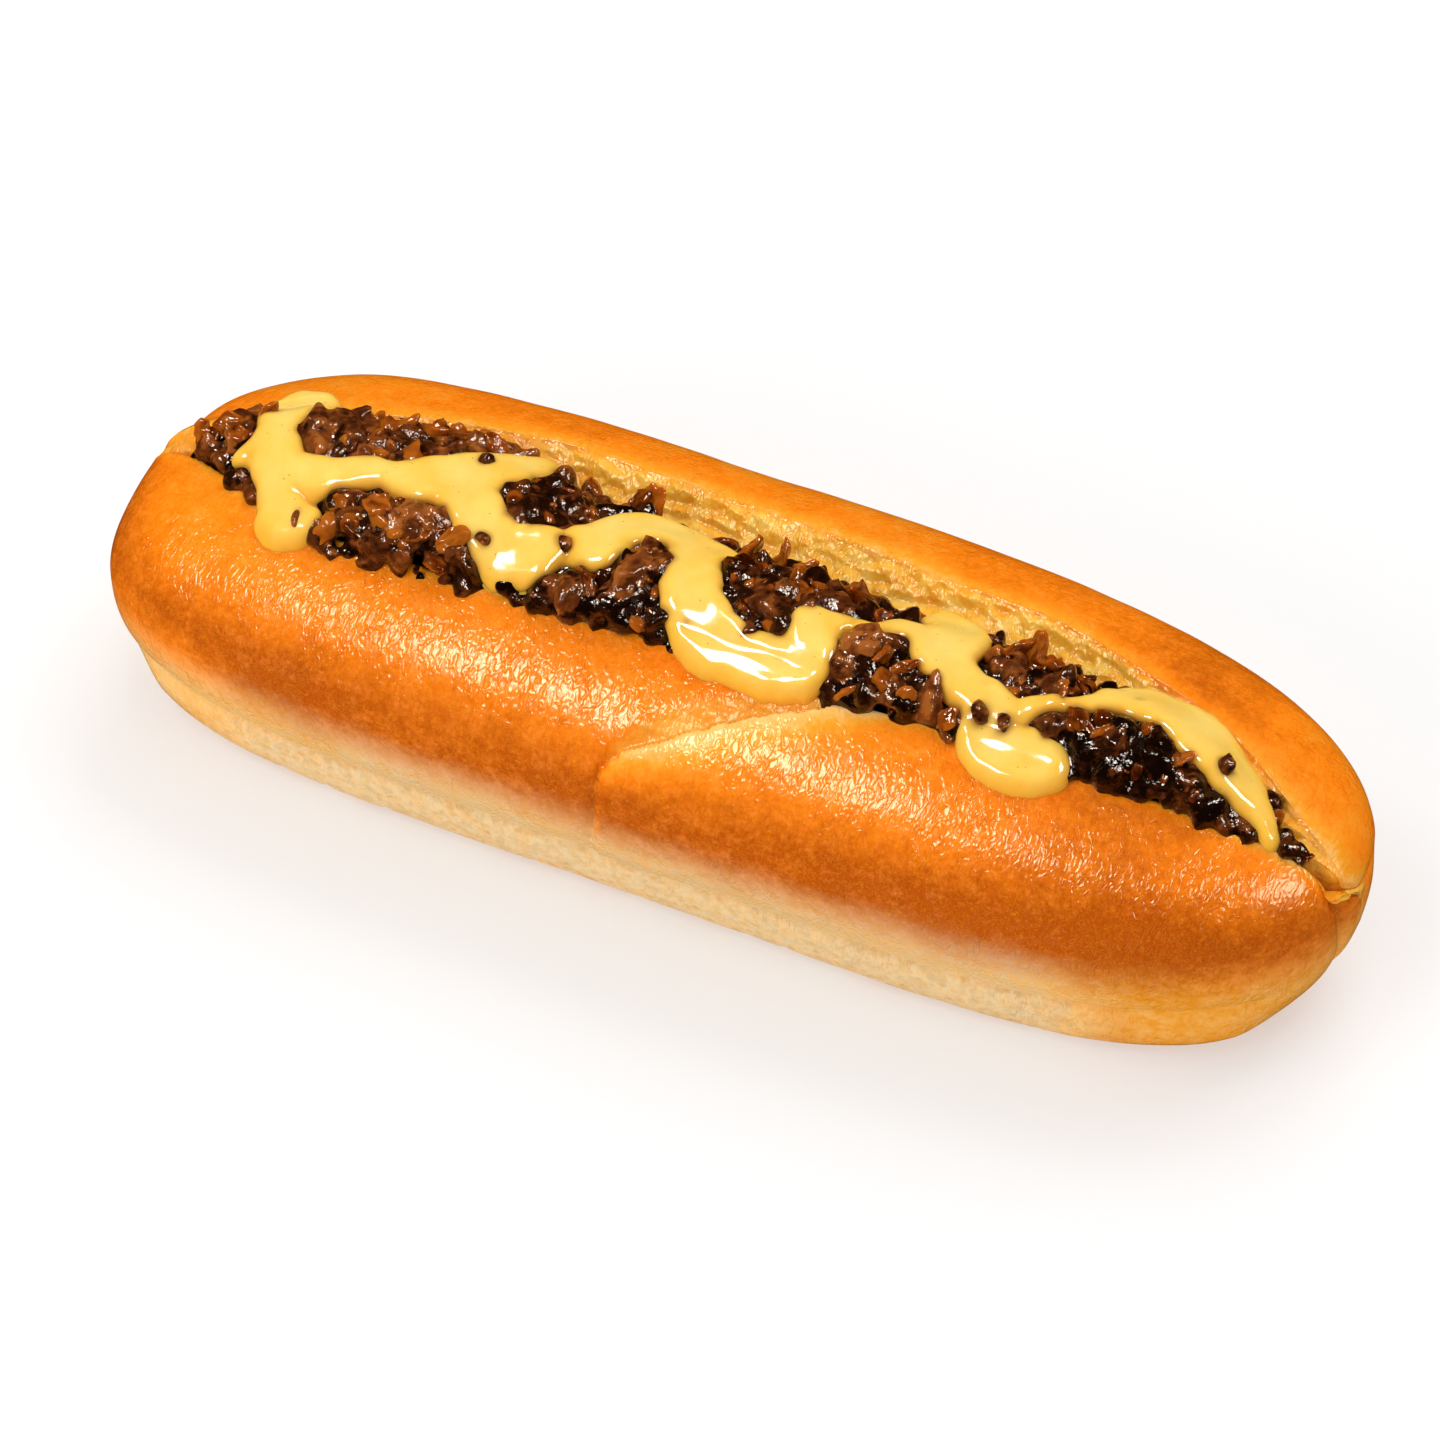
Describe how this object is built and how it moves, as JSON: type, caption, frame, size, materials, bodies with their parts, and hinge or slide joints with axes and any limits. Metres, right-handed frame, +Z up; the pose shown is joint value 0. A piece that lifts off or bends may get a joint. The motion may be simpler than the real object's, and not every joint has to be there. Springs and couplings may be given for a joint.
{
  "type": "cheesesteak sandwich",
  "caption": "Long soft roll slit along its top and filled with chopped browned beef and onion, with a folded ribbon of cheese sauce over the filling.",
  "frame": {"origin": "on the floor, under the middle of the whole sandwich", "axes": "+Z up, +X along the roll towards its rounder end, -Y towards the side with the split in the crust"},
  "size_m": [0.21, 0.0744, 0.053],
  "materials": {
    "crust": "egg-washed golden brown crust, paler crumb and underside",
    "beef_and_onion": "glossy dark browned beef bits and amber fried onion",
    "cheese": "smooth glossy yellow cheese sauce"
  },
  "bodies": {
    "root": {"roll": "crust", "beef_and_onion_filling": "beef_and_onion", "cheese_sauce": "cheese"}
  },
  "joints": []
}
